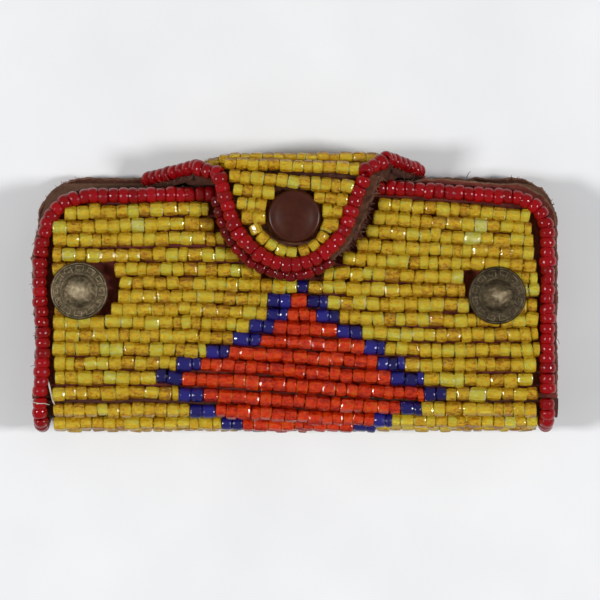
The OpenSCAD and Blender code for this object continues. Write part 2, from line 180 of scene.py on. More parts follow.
def bump(tree, shader, height, strength, distance):
    made = node(tree, "ShaderNodeBump", Strength=strength, Distance=distance)
    tree.links.new(height, made.inputs["Height"])
    tree.links.new(made.outputs["Normal"], shader.inputs["Normal"])


def tone_of_piece(tree):
    """The shade that each bead or part carries in its mesh: its own tone, with any painted shade and painted
    highlights added.
    """
    return node(tree, "ShaderNodeAttribute", attribute_name="tone").outputs["Fac"]


def glass_beads(name, stops, transmission, roughness, mottle=0.0, bending=1.5, relief=0.4):
    """Coloured glass whose shade changes from bead to bead, and within a bead by mottle and by the painted
    shade and highlights in its tone.
    """
    material, tree, shader = new_material(name, roughness, bending, 0.0, transmission)
    grain = noise(tree, 1500.0, 2.0, (0.7, 1, 1))
    colour_by(tree, shader, weighted(tree, grain, mottle, tone_of_piece(tree)), stops)
    bump(tree, shader, grain, relief, 0.0003)
    return material


def suede(name, dark, light, scale=900.0, rough=0.95, strength=0.7):
    """Leather's flesh side, or fibre: half broad clouds and half fine grain."""
    material, tree, shader = new_material(name, rough, 1.3)
    wide = noise(tree, scale / 8, 5.0)
    fine = noise(tree, scale, 6.0)
    mixed = weighted(tree, fine, 0.5, weighted(tree, wide, 0.5))
    colour_by(tree, shader, mixed, [(0.3, dark), (0.7, light)])
    bump(tree, shader, mixed, strength, 0.0006)
    return material


def metal(name, dark, light, roughness, stretch=None, strength=0.15):
    material, tree, shader = new_material(name, roughness, metallic=1.0)
    grain = noise(tree, 700.0, 5.0, stretch)
    colour_by(tree, shader, grain, [(0.35, dark), (0.65, light)])
    bump(tree, shader, grain, strength, 0.0002)
    return material


def enamel(name, dark, light):
    material, tree, shader = new_material(name, 0.30, 1.34)
    colour_by(tree, shader, noise(tree, 500.0, 3.0), [(0.3, dark), (0.7, light)])
    bump(tree, shader, noise(tree, 1500.0, 3.0), 0.06, 0.0002)
    return material


YELLOW = glass_beads("yellow_glass", [(0.12, (0.52, 0.23, 0.010)), (0.32, (0.86, 0.52, 0.020)),
                                      (0.54, (0.95, 0.72, 0.04)), (0.76, (0.82, 0.82, 0.11)),
                                      (1.0, (0.98, 0.93, 0.45))], 0.66, 0.05, 1.1)
ORANGE = glass_beads("orange_glass", [(0.2, (0.48, 0.014, 0.002)), (0.5, (0.94, 0.062, 0.004)),
                                      (0.9, (0.97, 0.19, 0.01))], 0.62, 0.085, 1.1)
BLUE = glass_beads("blue_glass", [(0.0, (0.006, 0.004, 0.055)), (1.0, (0.014, 0.012, 0.145))], 0.0, 0.07, 0.2)
RED = glass_beads("red_glass", [(0.0, (0.10, 0.001, 0.002)), (0.15, (0.16, 0.001, 0.002)),
                                (1.0, (0.26, 0.001, 0.003))], 0.0, 0.045, 0.0, 1.36, 0.08)
DARK_SUEDE = suede("dark_suede", (0.028, 0.009, 0.005), (0.088, 0.031, 0.018))
BROWN_SUEDE = suede("brown_suede", (0.050, 0.018, 0.010), (0.17, 0.070, 0.038))
REDDISH = suede("reddish_leather", (0.060, 0.010, 0.007), (0.16, 0.034, 0.024))
CUT_EDGE = suede("cut_leather_edge", (0.075, 0.032, 0.018), (0.20, 0.10, 0.06), scale=1500.0)
LINING = suede("lining_leather", (0.080, 0.036, 0.020), (0.15, 0.075, 0.045), 1400.0, 0.8, 0.3)
FIBRE = suede("leather_fibre", (0.10, 0.04, 0.025), (0.26, 0.13, 0.08))
THREAD = suede("thread", (0.62, 0.52, 0.22), (0.85, 0.76, 0.42), scale=4000.0)
PALE_THREAD = suede("pale_thread", (0.45, 0.40, 0.34), (0.66, 0.62, 0.54), scale=4000.0)
BRASS = metal("antique_brass", (0.10, 0.085, 0.055), (0.26, 0.23, 0.16), 0.36, strength=0.3)
NICKEL = metal("nickel_steel", (0.45, 0.44, 0.41), (0.62, 0.61, 0.58), 0.28, stretch=(1, 8, 1))
SPRING = metal("spring_steel", (0.30, 0.29, 0.26), (0.45, 0.43, 0.39), 0.3)
CAP = enamel("dark_enamel", (0.034, 0.0062, 0.002), (0.050, 0.0100, 0.0035))


def patina():
    """Old bronze: dark in the hollows and worn bright on the raised parts, with a painted highlight on the
    dome's middle, from each point's tone.
    """
    material, tree, shader = new_material("old_bronze", 0.42, metallic=0.85)
    cloud = noise(tree, 900.0, 5.0)
    stops = [(0.2, (0.022, 0.016, 0.009)), (0.5, (0.080, 0.058, 0.030)), (0.9, (0.36, 0.29, 0.18))]
    colour_by(tree, shader, weighted(tree, cloud, 0.7, tone_of_piece(tree)), stops)
    bump(tree, shader, cloud, 0.8, 0.0005)
    return material


BRONZE = patina()


# ---- meshes

def carry(made, body):
    """Fixes an object to a body. An object that lies round the fold is only baked in place, on no body."""
    if body == "fold_rows":
        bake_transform(made)
    elif body == "fold":
        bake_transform(made)
    elif body:
        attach(made, body)


def make_object(name, vertices, faces, material, smooth_shading=True):
    mesh = bpy.data.meshes.new(name)
    mesh.from_pydata([tuple(v) for v in np.asarray(vertices) * MM], [], [tuple(f) for f in faces])
    if smooth_shading:
        mesh.polygons.foreach_set("use_smooth", [True] * len(mesh.polygons))
    mesh.materials.append(material)
    mesh.update()
    made = bpy.data.objects.new(name, mesh)
    bpy.context.collection.objects.link(made)
    return made


def finish_piece(name, vertices, faces, tones, body, material, replaced, smooth_shading=True):
    """Makes a mesh with a tone at each point, on its body and in place of the CAD nodes it replaces."""
    made = make_object(name, vertices, faces, material, smooth_shading)
    attribute = made.data.attributes.new("tone", "FLOAT", "POINT")
    attribute.data.foreach_set("value", np.array(tones, dtype=np.float32))
    carry(made, body)
    if replaced:
        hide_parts(*replaced)
    return made


def side_faces(rings, count, closed):
    """The faces between rings of count points each. Closed means that the last ring joins the first."""
    faces = []
    for i in range(rings if closed else rings - 1):
        j = (i + 1) % rings
        for k in range(count):
            n = (k + 1) % count
            faces.append((i * count + k, i * count + n, j * count + n, j * count + k))
    return faces


def full_turn(sides):
    return np.linspace(0, 2 * math.pi, sides, endpoint=False)


class Pieces:
    """Collects tubes, sheets and turned shapes and makes them into one mesh. A tone shades each of them."""

    def __init__(self):
        self.vertices, self.faces, self.tones = [], [], []

    def rings(self, rings, tone=0.5, closed=False):
        """Joins rings of points side by side. The tone is one for all or one for each ring."""
        count = len(rings[0])
        faces = side_faces(len(rings), count, closed)
        if not closed:
            last = (len(rings) - 1) * count
            faces += [tuple(range(count))[::-1], tuple(last + k for k in range(count))]
        first = len(self.vertices)
        self.vertices += [tuple(point) for ring in rings for point in ring]
        self.faces += [tuple(first + i for i in face) for face in faces]
        self.tones += np.repeat(np.broadcast_to(tone, len(rings)), count).tolist()

    def tube(self, path, radius, sides=8, tone=0.5, closed=False):
        """A round tube along a path of points. The radius is one for all or one for each point."""
        path = np.array(path, float)
        radii = np.broadcast_to(np.array(radius, float), (len(path),))
        ways = np.roll(path, -1, 0) - np.roll(path, 1, 0)
        if not closed:
            ways[0], ways[-1] = path[1] - path[0], path[-1] - path[-2]
        ways /= np.linalg.norm(ways, axis=1)[:, None]
        side = np.cross(ways[0], (0.21, 0.35, 0.91))
        angles = full_turn(sides)[:, None]
        rings = []
        for point, way, size in zip(path, ways, radii):
            side = side - way * (side @ way)
            side /= np.linalg.norm(side)
            up = np.cross(way, side)
            rings.append(point + size * (np.cos(angles) * side + np.sin(angles) * up))
        self.rings(rings, tone, closed)

    def turned(self, profile, middle, sides, tone=0.5, wave=0.0):
        """A profile of (radius, height) turned round a vertical axis through middle. The wave warps it."""
        angles = full_turn(sides)
        rings = []
        for radius, height in profile:
            radius = max(radius, 0.01)
            rings.append([(middle[0] + radius * math.cos(a), middle[1] + radius * math.sin(a),
                           middle[2] + height + wave * math.sin(3 * a) * radius) for a in angles])
        self.rings(rings, tone)

    def build(self, name, body, material, *replaced, slot=None):
        return finish_piece(name, self.vertices, self.faces, self.tones, body, material, replaced)


def sheet(rings, name, body, material, *replaced, slot=None):
    made = Pieces()
    made.rings(rings)
    return made.build(name, body, material, *replaced, slot=slot)


def bead_shape(sides, *half):
    """A bead's profile, from its first half, and its number of sides. A point of the profile is a place
    along the hole, from -0.5 to 0.5, and a radius, where 1 is the outside."""
    return list(half) + [(-x, r) for x, r in half[-2::-1]], sides


CUT_BEAD = bead_shape(9, (-0.40, 0.42), (-0.485, 0.52), (-0.50, 0.72), (-0.465, 0.87), (-0.35, 0.975), (0, 1))
ROUND_BEAD = bead_shape(18, (-0.34, 0.30), (-0.42, 0.42), (-0.46, 0.60), (-0.40, 0.80), (-0.26, 0.94), (0, 1))


# The share of beads whose ends get a strong painted highlight, and how many times stronger their rim's
# painted light is
PAINTED_GLINT_SHARE = 0.22
PAINTED_GLINT_STRENGTH = 9
# The play along a row of beads
BEAD_GAP = 0.03


class Beads:
    """Collects beads and makes them into one mesh, each with its own length, tilt and shade.

    The rim is painted shade that darkens a bead towards its ends, or below zero a painted highlight that
    lightens them. The painted side shade darkens its two sides, towards the neighbouring rows."""

    def __init__(self, seed, rim=-0.05, painted_side_shade=0.29):
        self.random = np.random.default_rng(seed)
        self.items = []
        self.rim, self.painted_side_shade = rim, painted_side_shade

    def add(self, place, along, length, diameter, tone=None, wobble=0.05):
        along = np.array(along, float) + self.random.normal(0, wobble, 3)
        tone = tone_of_yellow(self.random) if tone is None else tone
        self.items.append((np.array(place, float), along / np.linalg.norm(along), length, diameter, tone))

    def build(self, name, body, material, shape, *replaced, slot=None, facets=False):
        profile, sides = shape
        angles = full_turn(sides)
        faces = np.array(side_faces(len(profile), sides, True))
        vertices, all_faces, tones = [], [], []
        for count, (place, along, length, diameter, tone) in enumerate(self.items):
            side = np.cross(along, (0.13, 0.31, 0.94))
            side /= np.linalg.norm(side)
            up = np.cross(along, side)
            turn = self.random.random() * 6.28
            squeeze = 1 + self.random.normal(0, 0.05)
            circle = np.cos(angles + turn)[:, None] * side * squeeze + np.sin(angles + turn)[:, None] * up
            lean = self.random.normal(0, 0.08)
            # Painted highlight: the rim lightens each bead's ends, and on a share of the beads much more, as
            # painted glints.
            rim = self.rim * (PAINTED_GLINT_STRENGTH if self.random.random() < PAINTED_GLINT_SHARE else 1)
            for x, r in profile:
                slant = along * (lean * np.sin(angles)[:, None] * r * diameter / 2)
                vertices.append(place + along * (x * length) + circle * (r * diameter / 2) + slant)
            all_faces.append(faces + count * len(profile) * sides)
            # Painted shade: each bead is darkened on its two sides, towards the neighbouring rows.
            painted_side_shades = self.painted_side_shade * smooth((np.abs(circle[:, 1]) - 0.45) / 0.5)
            tones += [tone - rim * max(abs(x) - 0.38, 0) / 0.11 - s for x, _ in profile for s in painted_side_shades]
        return finish_piece(name, np.concatenate(vertices), np.concatenate(all_faces), tones, body, material,
                            replaced, not facets)


# ---- rows on the front, the fold and the back

def sag(x, i):
    """How far a hand-sewn row strays from its level: it climbs to the left and sinks to the right."""
    left = 1.7 * smooth((i - 3) / 8)
    right = -0.9 - 0.6 * smooth(i / 12)
    arch = 1.0 * (1 - smooth(i / 5))
    u = smooth((x + 30) / 60)
    bow = 0.8 * bell(x, -24, 16) * (1 - smooth(i / 4))
    return left + (right - left) * u + arch * 4 * u * (1 - u) + bow


def row_level(x, i):
    """The level of a row at x. Rows 0 to 4 lie left of the tab, and rows -1 to -6 right of it, going up.

    The lowest rows come late, below their step, and the first ones lie a little low too."""
    if i < 0:
        return row_level(x, DIAMOND_TIP) - i * (2.68 - 0.013 * (x - 25))
    late = 0.15 if i == 13 else 0
    if i >= 14:
        late += 0.7 - 0.3 * smooth((x + 28) / 12)
    if i >= 15:
        late += 0.9 - 0.4 * smooth((x + 30) / 60)
    return FIRST_ROW - ROW_PITCH * i + sag(x, i) - late - 0.45 * (1 - smooth(i / 2.5))


# The fold bulges this far past the panels. Its profile is half an ellipse, made squarer by a power above 2.
FOLD_DEPTH = 3.9
FOLD_POWER = 2.7


def fold_curve(rise):
    """The fold's profile, rise above its leather, from the front to the back: points, normals, lengths."""
    t = np.linspace(0, math.pi, 121)
    across = np.sin(t) ** (2 / FOLD_POWER)
    along = np.sign(np.cos(t)) * np.abs(np.cos(t)) ** (2 / FOLD_POWER)
    points = np.stack([FOLD_Y - FOLD_DEPTH * across, FOLD_Z + FOLD_RADIUS * along], 1)
    ways = np.gradient(points, axis=0)
    ways /= np.linalg.norm(ways, axis=1)[:, None]
    out = np.stack([ways[:, 1], -ways[:, 0]], 1)
    out[0], out[-1] = (0, 1), (0, -1)
    points = points + rise * out
    lengths = np.concatenate([[0], np.cumsum(np.linalg.norm(np.diff(points, axis=0), axis=1))])
    return points, out, lengths


FOLD_POINTS, FOLD_OUT, FOLD_LENGTHS = fold_curve(ROW / 2)


def on_front(x, y, rise):
    """A place rise above the leather, where y runs on round the fold below FOLD_Y."""
    s = FOLD_Y - y
    if s <= 0:
        return x, y, FRONT_FACE + rise
    if s >= FOLD_LENGTHS[-1]:
        return x, FOLD_Y + s - FOLD_LENGTHS[-1], BACK_FACE - rise
    more = rise - ROW / 2
    py, pz = [np.interp(s, FOLD_LENGTHS, FOLD_POINTS[:, k] + more * FOLD_OUT[:, k]) for k in (0, 1)]
    return x, py, pz


# The diamond as sewn: for each row from its tip down, both ends of the blue on its left and on its right
DIAMOND_TIP = 5
BLUE_ENDS = [(-0.1, 2.1, 2.1, 2.1), (-6.2, -1.3, 1.9, 5.8), (-6.0, -1.8, 3.5, 8.2), (-9.4, -4.7, 7.7, 12.6),
             (-12.6, -7.3, 13.0, 17.1), (-17.9, -13.4, 15.6, 21.0), (-24.0, -18.9, 19.1, 24.4),
             (-27.6, -22.6, 24.5, 29.1), (-23.6, -18.4, 20.1, 24.3), (-20.3, -16.0, 14.9, 18.5),
             (-15.0, -10.7, 11.0, 15.5), (-11.5, -7.0, 7.5, 12.0), (-8.0, -3.6, 4.4, 8.8),
             (-4.8, -0.6, 1.6, 5.6), (-1.4, 0.9, 0.9, 3.0)]
DIAMOND = dict(enumerate(BLUE_ENDS, DIAMOND_TIP))


def colour_at(x, i):
    if i not in DIAMOND:
        return "yellow"
    a, b, c, d = DIAMOND[i]
    if a <= x < b or c <= x < d:
        return "blue"
    return "orange" if b <= x < c else "yellow"


def next_edge(x, i):
    """The next place where the row changes colour, so that a bead ends there."""
    return min([e for e in DIAMOND.get(i, ()) if e > x + 0.9], default=1e9)


def tab_side(side, y, half, low):
    """How far a curve like the tab's edge lies to one side at y, from its half width and its lowest point."""
    c = min(max(1 - (y - low) / (TURN[0] - low), 0), 1)
    return half * math.sqrt(1 - c * c) + TAB_LEAN[side] * (1 - c)


def tab_cover(side, y):
    """How far the tab hides the front at y, where the beadwork stops short."""
    low = TAB_LOW - (2.6, 3.2)[side]
    return -9.0 if y < low else tab_side(side, y, (16.3, 15.4)[side], low)


# The bare leather on the inner side of each concho: a circle's centre from the concho's, and its radius
BARE = {"left_concho": (0.8, 0.9, 6.7), "right_concho": (-0.6, 1.5, 5.8)}


def blocked(x, y, half):
    """True where the beadwork leaves room for a concho's stem or for the tab."""
    for name, (cx, cy, _) in CONCHOS.items():
        dx, dy, radius = BARE[name]
        near = max(abs(x - cx - dx) - half, 0)
        if (x - cx) * dx > 0 and abs(y - cy) < 5.9 and math.hypot(near, y - cy - dy) < radius:
            return True
        if math.hypot(x - cx, y - cy) < 4.6:
            return True
    return -tab_cover(0, y) < x + half - STRAP_MIDDLE and x - half - STRAP_MIDDLE < tab_cover(1, y)


def tone_of_yellow(random):
    """A mostly even shade, and now and then a lighter bead."""
    return 0.35 if random.random() < 0.012 else max(random.normal(-0.055, 0.11), -0.24)


def tone_of(colour, random):
    if colour == "yellow":
        return tone_of_yellow(random)
    tone = random.random()
    return random.uniform(-0.15, 0.05) if colour == "orange" else tone


SHORTEST_BEAD = 1.3


def bead_length(random, x, i, end):
    """The length of the bead that starts at x, fitted to the row's next change of colour and to its end."""
    length = float(np.clip(random.normal(2.35, 0.36), 1.6, 3.3))
    edge = next_edge(x, i)
    if x + length > edge - 0.75:
        length = min(max(edge - x, SHORTEST_BEAD), 3.1)
    return length if x + length <= end else max(end - x, SHORTEST_BEAD)


def clear_length(x, y, length):
    """The length cut down until the bead lies clear, or 0."""
    if not blocked(x + length / 2, y, length / 2 - 0.2):
        return length
    length -= 0.6
    while length > SHORTEST_BEAD and blocked(x + length / 2, y, length / 2 - 0.2):
        length -= 0.3
    return length if length > SHORTEST_BEAD else 0


def front_beadwork():
    """The beads, in groups by body and colour, and the threads, each as its body and its places."""
    random = np.random.default_rng(11)
    groups, strings = {}, []
    for i in range(-6, FRONT_ROWS):
        x = FRONT_LEFT + 3.5 + (2.2 if i == 0 else 0) + random.uniform(-0.3, 0.4)
        end = FRONT_RIGHT - 3.5 - 0.4 * max(-i - 2, 0) + random.uniform(-0.4, 0.3)
        if i < 0:
            x = STRAP_MIDDLE
        elif i < DIAMOND_TIP:
            end = STRAP_MIDDLE
        string = None
        while x < end - 1.0:
            length = bead_length(random, x, i, end)
            y = row_level(x + length / 2, i)
            length = clear_length(x, y, length)
            if not length:
                x += 0.3 + BEAD_GAP
                string = None
                continue
            middle = x + length / 2
            colour = colour_at(middle, i)
            size = ROW * random.uniform(0.97, 1.10)
            place = on_front(middle, y + random.normal(0, 0.11), size / 2)
            slope = row_level(middle + 0.5, i) - row_level(middle - 0.5, i)
            body = "front" if place[1] > FOLD_Y + 0.2 else "back"
            if string is None or string[0] != body:
                string = (body, [on_front(x, y, size / 2)])
                strings.append(string)
            string[1].append(place)
            group = groups.setdefault((body, colour), Beads(100 + len(groups)))
            group.add(place, (1, slope, 0), length * 1.005, size, tone_of(colour, random))
            x += length + BEAD_GAP
    return groups, strings


def back_beadwork():
    """Plain rows go on round the fold from the front and cover the back, up to the strap's root."""
    random = np.random.default_rng(23)
    beads, strings = Beads(24), []
    for i in range(FRONT_ROWS, FRONT_ROWS + 20):
        base = FIRST_ROW - ROW_PITCH * i - 0.9
        x = BACK_LEFT + 3.6 + random.uniform(-0.3, 0.4)
        end = BACK_RIGHT - 3.6
        _, y, z = on_front(0, base, ROW / 2)
        if z < BACK_FACE and y > BACK_TOP - 4.4:
            x, end = STRAP_MIDDLE - 22, STRAP_MIDDLE + 22
            if y > ROOT[0] - 1.3:
                break
        strings.append(("back", []))
        while x < end - 1.0:
            length = float(np.clip(random.normal(2.35, 0.26), 1.75, 3.0))
            middle = x + length / 2
            stray = (row_level(middle, i) - base) * (1 - smooth((i - FRONT_ROWS + 1) / 8))
            place = on_front(middle, base + stray + random.normal(0, 0.06), ROW / 2)
            strings[-1][1].append(place)
            size = ROW * random.uniform(0.93, 1.03)
            beads.add(place, (1, 0, 0), length * 1.005, size, tone_of_yellow(random))
            x += length + BEAD_GAP
    return beads, strings


MATERIALS = {"yellow": YELLOW, "orange": ORANGE, "blue": BLUE}
GROUPS, FRONT_STRINGS = front_beadwork()
for (body, colour), group in GROUPS.items():
    where, owner = ("front", "front") if body == "front" else ("fold", "fold_rows")
    group.build(f"{where}_beads_{colour}", owner, MATERIALS[colour], CUT_BEAD, f"{where}_rows_{colour}",
                slot=f"{colour}_beads", facets=colour != "blue")
BACK_BEADS, BACK_STRINGS = back_beadwork()
BACK_BEADS.build("back_beads", "back", YELLOW, CUT_BEAD, "back_rows", slot="yellow_beads", facets=True)
for body in ("front", "back"):
    threads = Pieces()
    for owner, points in FRONT_STRINGS + BACK_STRINGS:
        if owner == body and len(points) > 1:
            threads.tube(points, 0.34, 5)
    threads.build(f"{body}_threads", body, THREAD)


# ---- edge beads

def flare(half, side):
    """The strap spreads less on its right."""
    return half - (0.36 * max(half - 19.9, 0) if side > 0 else 0)


def along_path(path, pitch, random):
    """Places and directions at irregular steps along a path of points."""
    path = np.array(path, float)
    steps = np.linalg.norm(np.diff(path, axis=0), axis=1)
    total = np.concatenate([[0], np.cumsum(steps)])
    place = pitch / 2
    found = []
    while place < total[-1] - pitch * 0.3:
        k = max(min(int(np.searchsorted(total, place)) - 1, len(steps) - 1), 0)
        t = (place - total[k]) / max(steps[k], 1e-9)
        point = path[k] + t * (path[k + 1] - path[k])
        found.append((point, (path[k + 1] - path[k]) / steps[k]))
        place += pitch * random.uniform(0.93, 1.07)
    return found


def edge_strand(name, paths, body, *replaced, seed, pitch=2.02, size=EDGE, shades=(0.2, 1.0)):
    """Red beads along the paths, which press a little into each other."""
    beads = Beads(seed, 0, 0)
    random = np.random.default_rng(seed + 1)
    for path in paths:
        for point, way in along_path(path, pitch, random):
            shade = random.uniform(*shades)
            place = point + random.normal(0, 0.05, 3)
            beads.add(place, way, pitch * 1.22, size * random.uniform(0.94, 1.03), shade, 0.06)
    beads.build(name, body, RED, ROUND_BEAD, *replaced, slot="red_beads")


def arc(cx, cy, radius, start, stop, steps=10):
    angles = [math.radians(start + (stop - start) * i / steps) for i in range(steps + 1)]
    return [(cx + radius * math.cos(a), cy + radius * math.sin(a)) for a in angles]


def front_bow(x):
    """The front's top edge bows up right of the middle and drops towards the right corner."""
    return 1.3 * bell(x, 10, 26) - 0.8 * smooth((x - 18) / 26) - 0.35 * smooth((-x - 5) / 8)


def side_wander(y):
    """How far the left side's strand strays to the right of its line."""
    return (0.65 * bell(y, 14.5, 4) - 0.45 * bell(y, 4, 5) + 0.35 * bell(y, -10, 5)
            - 0.3 * bell(y, -20.6, 2) - 0.6)


def front_outline(inset, low):
    """The front's edge from its lower left to its lower right, inset from the leather's edge."""
    left = FRONT_LEFT + inset
    right = FRONT_RIGHT - inset
    high = FRONT_TOP - inset
    turns = (LEFT_CORNER - inset, RIGHT_CORNER - inset)
    flat = [(left, low + (high - turns[0] - low) * i / 8) for i in range(8)]
    flat += arc(left + turns[0], high - turns[0], turns[0], 180, 90)
    flat += [(left + turns[0] + (right - left - turns[0] - turns[1]) * i / 24, high) for i in range(1, 24)]
    flat += arc(right - turns[1], high - turns[1], turns[1], 90, 0)
    flat.append((right, low))
    return [(x + side_wander(y) * smooth((-x - 44) / 4), y + front_bow(x) * smooth((y - 6) / 10))
            for x, y in flat]


def fold_edge_path(x):
    return [(x, y, z) for y, z in fold_curve(EDGE / 2)[0][::3]]


def back_edge_path(side):
    """Up the back's left or right side and along its top to the strap."""
    turn = RIGHT_CORNER - EDGE_INSET
    reach = BACK_RIGHT - EDGE_INSET
    high = BACK_TOP - EDGE_INSET
    flat = [(side * reach, FOLD_Y + 0.4)]
    flat += [(side * x, y) for x, y in arc(reach - turn, high - turn, turn, 0, 90)]
    flat.append((STRAP_MIDDLE + side * (flare(ROOT_HALF, side) + 0.3), high))
    return [(x, y, BACK_FACE - EDGE / 2) for x, y in flat]


FRONT_STRAND = [(x, y, FRONT_FACE + EDGE / 2) for x, y in front_outline(EDGE_INSET, FOLD_Y + 0.4)]
FOLD_SIDES = (FRONT_LEFT + EDGE_INSET + side_wander(FOLD_Y), FRONT_RIGHT - EDGE_INSET)
edge_strand("front_edge_beads", [FRONT_STRAND], "front", "front_edging", seed=31, pitch=1.92, size=3.12)
edge_strand("fold_edge_beads", [fold_edge_path(x) for x in FOLD_SIDES], "fold", "fold_edging", seed=33)
edge_strand("back_edge_beads", [back_edge_path(side) for side in (-1, 1)], "back", "back_edging", seed=35)


# ---- the strap over the top edge, and the tab

def stretch(k):
    """Unit direction, outward normal and length of the strap's flat stretch from corner k, as (y, z)."""
    direction = np.array(STRAP_CORNERS[k + 1], float) - STRAP_CORNERS[k]
    length = float(np.linalg.norm(direction))
    direction /= length
    return direction, np.array([direction[1], -direction[0]]), length


def stretch_place(k, s, rise):
    direction, out, _ = stretch(k)
    return STRAP_CORNERS[k] + s * direction + rise * out


def row_of_beads(beads, random, start, end, y, z, slope=0.0, size=ROW):
    """Beads that fill a straight row from start to end."""
    count = max(round((end - start) / 2.15), 1)
    lengths = random.uniform(0.8, 1.2, count)
    lengths *= (end - start) / lengths.sum()
    x = start
    for length in lengths:
        middle = x + length / 2
        beads.add((middle, y + slope * (middle - STRAP_MIDDLE) + random.normal(0, 0.06), z), (1, slope, 0),
                  length * 0.985, size * random.uniform(0.93, 1.04))
        x += length


def curl(point):
    """The strap's flared sides lean in towards the back panel, so its edges run down and inward."""
    x, y, z = point
    reach = abs(x - STRAP_MIDDLE)
    if x > STRAP_MIDDLE:
        drop = 0.30 * max(reach - 18.3, 0)
    else:
        drop = 1.5 * smooth((reach - 11) / 7) + 0.217 * max(reach - 18, 0)
    return (x, y - drop * smooth((y - 21.5) / 2.5), z)


def strap_profile(rise):
    """The strap's profile rise above its outer face: (y, z, half width, body) from the back to the tab."""
    steps = 5
    trim = max(-rise, 0) * math.tan(math.pi / 8)
    found = []
    for k, body in enumerate(STRAP_BODIES):
        _, out, length = stretch(k)
        half, next_half = STRAP_HALVES[k:k + 2]
        count = 6 if body in ("back", "tab") else max(int(length / 0.7), 3)
        for i in range(count + 1):
            s = length * i / count
            y, z = stretch_place(k, min(max(s, trim), length - trim), rise)
            found.append((y, z, half + (next_half - half) * s / length, body))
        if body == "tab":
            break
        following = stretch(k + 1)[1]
        for i in range(1, steps):
            mix = out + (following - out) * i / steps
            mix /= np.linalg.norm(mix)
            if rise < 0:
                mix = (out + following) / np.linalg.norm(out + following) / math.cos(math.pi / 8)
            y, z = STRAP_CORNERS[k + 1] + rise * mix
            found.append((y, z, next_half, body if i < steps / 2 else STRAP_BODIES[k + 1]))
    return found


def strap_edges():
    """One strand up each side of the strap, from its root to the tab, as beads on the strap's bodies."""
    profile = strap_profile(EDGE / 2)
    groups = {name: Beads(70 + k, 0, 0) for k, name in enumerate(STRAP_BODIES[1:4])}
    for side in (-1, 1):
        random = np.random.default_rng(75 + side)
        path = [curl((STRAP_MIDDLE + side * (flare(half, side) - EDGE_INSET), y, z))
                for y, z, half, _ in profile]
        for point, way in along_path(path, 1.97, random):
            near = min(range(len(path)), key=lambda k: np.linalg.norm(np.array(path[k]) - point))
            body = profile[near][3]
            if body in groups:
                size = EDGE * random.uniform(0.99, 1.07)
                groups[body].add(point, way, 2.35, size, random.uniform(0.2, 1), 0.06)
    for name, beads in groups.items():
        beads.build(f"{name}_edge_beads", name, RED, ROUND_BEAD, f"{name}_edging", slot="red_beads")


# Where the rows lie along each stretch, and how far the high stretch's row is askew
STRAP_ROWS = {"strap_low": [1.41], "strap_spine": [1.3, 3.97, 6.63, 9.3], "strap_high": [1.5]}
HIGH_SLOPE = 0.055


def strap_rows(name):
    """The rows on one stretch of the strap."""
    k = STRAP_BODIES.index(name)
    random = np.random.default_rng(49 + k)
    beads = Beads(59 + k)
    direction, _, length = stretch(k)
    for s in STRAP_ROWS[name]:
        y, z = stretch_place(k, s, ROW / 2)
        half = STRAP_HALVES[k] + (STRAP_HALVES[k + 1] - STRAP_HALVES[k]) * s / length - 4.6
        row_of_beads(beads, random, STRAP_MIDDLE - half, STRAP_MIDDLE + half, y, z, size=2.6)
    if name == "strap_high":
        for place, *_ in beads.items:
            place[1:] += direction * HIGH_SLOPE * (place[0] - STRAP_MIDDLE)
    beads.items = [(np.array(curl(place)), *rest) for place, *rest in beads.items]
    beads.build(f"{name}_beads", name, YELLOW, CUT_BEAD, f"{name}_rows", slot="yellow_beads", facets=True)


for name in STRAP_ROWS:
    strap_rows(name)
strap_edges()


def strap_leather():
    """The strap's leather, as four sheets that meet between the bends. Each sheet is shaped round one of
    them, and is baked in place on no body.
    """
    outer, inner = strap_profile(0.06), strap_profile(-LEATHER)
    random = np.random.default_rng(55)
    middles = [0]
    for body in STRAP_BODIES[1:4]:
        inside = [i for i, row in enumerate(outer) if row[3] == body]
        middles.append(inside[len(inside) // 2])
    middles.append(len(outer) - 1)
    across = np.linspace(-1, 1, 31)
    frays = random.normal(0, 0.14, (len(outer), 2))
    for k, (body, following) in enumerate(zip(STRAP_BODIES, STRAP_BODIES[1:])):
        rings = []
        for i in range(middles[k], middles[k + 1] + 1):
            ring = []
            for rows, order in ((outer, across), (inner, across[::-1])):
                y, z, half, _ = rows[i]
                half = half - 0.9 - (2.2 if k == 0 and i < 5 else 0)
                sides = (flare(half, -1), flare(half, 1))
                for u in order:
                    fray = frays[i][int(u > 0)] if abs(u) > 0.97 else 0
                    ring.append(curl((STRAP_MIDDLE + u * (sides[int(u > 0)] + fray), y, z)))
            rings.append(ring)
        replaced = [f"{body}_leather"] if k else []
        made = sheet(rings, f"strap_bend_{k + 1}", None, DARK_SUEDE, *replaced)
        before = STRAP_CORNERS[k + 1] - stretch(k)[0]
        after = STRAP_CORNERS[k + 1] + stretch(k + 1)[0]
        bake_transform(made)


strap_leather()


def strap_ear(side, body):
    """Where the strap flares, its leather turns in beneath the strand, towards the front's top edge."""
    random = np.random.default_rng(57 + side)
    rings = []
    for y, z, half, owner in strap_profile(0.0):
        if owner != body:
            continue
        x, y, z = curl((STRAP_MIDDLE + side * (flare(half, side) - 1.0), y, z))
        inner = (21.1, 21.9)[side > 0] + 0.8 * smooth((14.6 - z) / 2) + random.normal(0, 0.05)
        deep = max(y - inner, 0.6)
        line = [(x + random.normal(0, 0.05), y - deep * t, z - 0.9 * t * t) for t in np.linspace(0, 1, 6)]
        rings.append(line + [(px - side * 2.2, py, pz - 0.5) for px, py, pz in line[::-1]])
    sheet(rings, f"{body}_ear_{'left' if side < 0 else 'right'}", body, DARK_SUEDE)


for side in (-1, 1):
    for body in ("strap_spine", "strap_high"):
        strap_ear(side, body)


def tab_waist(side, y):
    """How far the tab is drawn in above its middle."""
    return (0.7, 0.95)[side] * bell(y, 17.5, 4)


